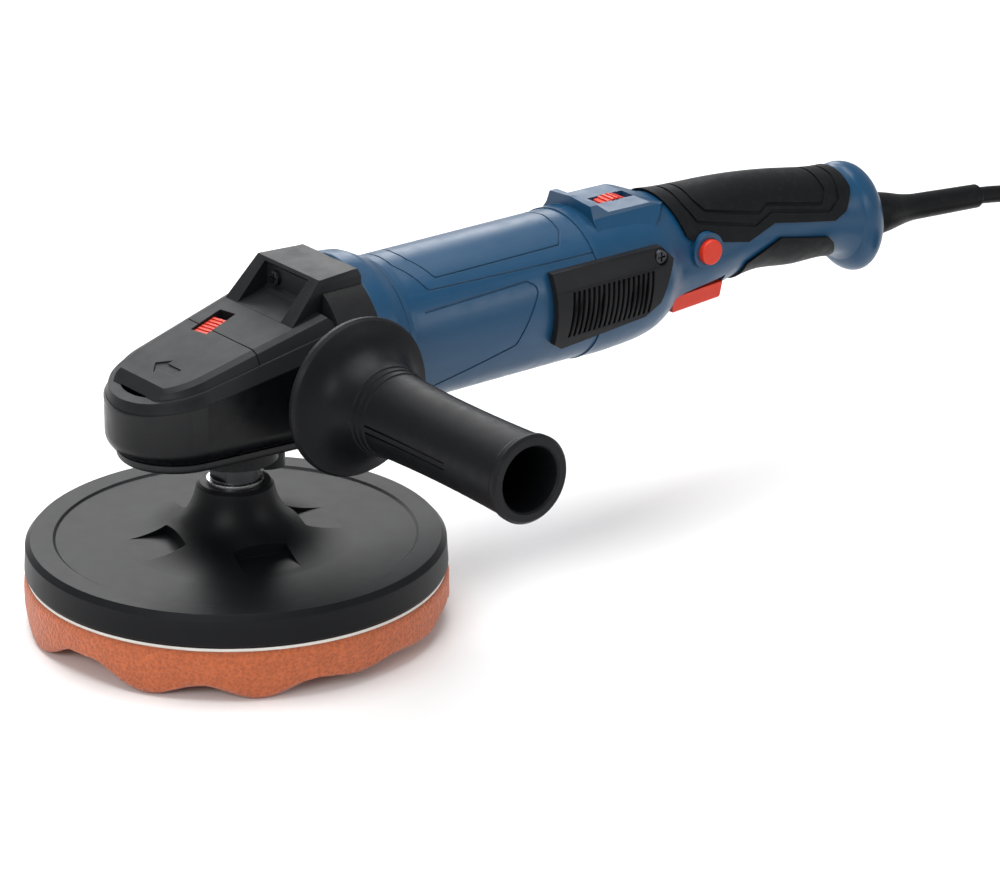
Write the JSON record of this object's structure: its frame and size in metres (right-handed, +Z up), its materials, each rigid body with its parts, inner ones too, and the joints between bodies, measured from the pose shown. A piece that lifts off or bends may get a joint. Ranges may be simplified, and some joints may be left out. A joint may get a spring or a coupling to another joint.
{
  "type": "rotary polisher",
  "caption": "Electric rotary polisher with convoluted foam pad, ribbed hub plate, angled gear head, side handle, slim rear grip handle, trigger and mains cord.",
  "frame": {"origin": "centre of the polishing pad's working face, on the output spindle axis", "axes": "+X towards the rear handle and cord, -Y towards the fitted side handle, +Z up along the output spindle"},
  "size_m": [0.625, 0.263, 0.1515],
  "materials": {
    "foam": "matt open foam",
    "hook_cloth": "fine hooks",
    "pad_rubber": "satin",
    "bright_steel": "ground",
    "gear_steel": "hardened, oiled",
    "bearing_steel": "polished",
    "spring_steel": "drawn wire",
    "screw_zinc": "zinc plated",
    "lamination": "stamped sheet",
    "copper": "enamelled wire",
    "carbon": "pressed carbon",
    "brass": "drawn",
    "fan_plastic": "moulded",
    "case_metal": "satin black paint",
    "flange_metal": "die cast",
    "cover_black": "fine grain",
    "body_blue": "satin, fine grain",
    "vent_black": "fine grain",
    "grip_rubber": "soft grain",
    "control_red": "satin",
    "module_grey": "moulded",
    "handle_black": "fine grain",
    "cord_rubber": "smooth sheath",
    "plug_black": "moulded",
    "plug_brass": "nickelled"
  },
  "bodies": {
    "body": {"spindle_lower_bearing": "bearing_steel", "spindle_top_bearing": "bearing_steel", "counter_front_bearing": "bearing_steel", "counter_rear_bearing": "bearing_steel", "armature_front_bearing": "bearing_steel", "armature_rear_bearing": "bearing_steel", "stator_core": "lamination", "field_windings": "copper", "air_baffle": "fan_plastic", "brush_holders": "brass", "carbon_brushes": "carbon", "brush_springs": "spring_steel", "gear_case": "case_metal", "bearing_flange": "flange_metal", "gear_head_screws": "screw_zinc", "head_cover": "cover_black", "front_cap": "cover_black", "spindle_lock_spring": "spring_steel", "intermediate_plate": "flange_metal", "motor_housing": "body_blue", "bearing_carrier": "module_grey", "handle_shell_left": "body_blue", "handle_shell_right": "body_blue", "upper_grip_left": "grip_rubber", "upper_grip_right": "grip_rubber", "lower_grips": "grip_rubber", "vent_cover_left": "vent_black", "vent_cover_right": "vent_black", "vent_screws": "screw_zinc", "speed_module": "module_grey", "trigger_pin": "bright_steel", "trigger_spring": "spring_steel", "switch_module": "module_grey", "lock_on_spring": "spring_steel", "side_handle_grip": "handle_black", "side_handle_stud": "bright_steel", "cord_sleeve": "cord_rubber", "cord_lead": "cord_rubber", "cord_coil": "cord_rubber", "cord_tail": "cord_rubber", "plug_body": "plug_black", "plug_pins": "plug_brass"},
    "spindle": {"spindle": "bright_steel", "crown_gear": "gear_steel", "backing_plate": "pad_rubber", "hub_insert": "bright_steel", "hook_disc": "hook_cloth", "foam_pad": "foam"},
    "countershaft": {"pinion_shaft": "gear_steel", "reduction_gear": "gear_steel"},
    "armature": {"armature_shaft": "gear_steel", "cooling_fan": "fan_plastic", "armature_core": "lamination", "armature_windings": "copper", "commutator": "copper"},
    "spindle_lock": {"spindle_lock_slider": "control_red"},
    "lock_pin": {"spindle_lock_pin": "gear_steel"},
    "trigger": {"trigger": "control_red"},
    "lock_on": {"lock_on_button": "control_red"},
    "dial": {"speed_dial": "control_red"}
  },
  "joints": [
    {"name": "spindle_spin", "type": "hinge", "parent": "body", "child": "spindle", "pos_m": [0, 0, 0.06], "axis": [0, 0, 1], "continuous": true},
    {"name": "countershaft_spin", "type": "hinge", "parent": "body", "child": "countershaft", "pos_m": [0.03, 0, 0.0971], "axis": [1, 0, 0], "continuous": true},
    {"name": "armature_spin", "type": "hinge", "parent": "body", "child": "armature", "pos_m": [0.1, 0, 0.1115], "axis": [1, 0, 0], "continuous": true},
    {"name": "spindle_lock_slide", "type": "slide", "parent": "body", "child": "spindle_lock", "axis": [0.9589, 0.1392, 0.2474], "range_m": [0, 0.0034]},
    {"name": "lock_pin_slide", "type": "slide", "parent": "body", "child": "lock_pin", "axis": [0, 0, 1], "range_m": [-0.0017, 0], "deforming": ["spindle_lock_spring"]},
    {"name": "trigger_pull", "type": "hinge", "parent": "body", "child": "trigger", "pos_m": [0.2255, 0, 0.1015], "axis": [0, -1, 0], "range_deg": [0, 3], "stiffness_Nm_per_rad": 0.4, "deforming": ["trigger_spring"]},
    {"name": "lock_on_push", "type": "slide", "parent": "body", "child": "lock_on", "axis": [0, 1, 0], "range_m": [0, 0.003], "stiffness_N_per_m": 400, "deforming": ["lock_on_spring"]},
    {"name": "speed_dial_turn", "type": "hinge", "parent": "body", "child": "dial", "pos_m": [0.2032, 0, 0.1316], "axis": [0, 1, 0], "range_deg": [-135, 135]}
  ],
  "couplings": [
    {"joint": "countershaft_spin", "follows": "spindle_spin", "ratio": 3},
    {"joint": "armature_spin", "follows": "spindle_spin", "ratio": -9},
    {"joint": "lock_pin_slide", "follows": "spindle_lock_slide", "ratio": -0.5}
  ]
}
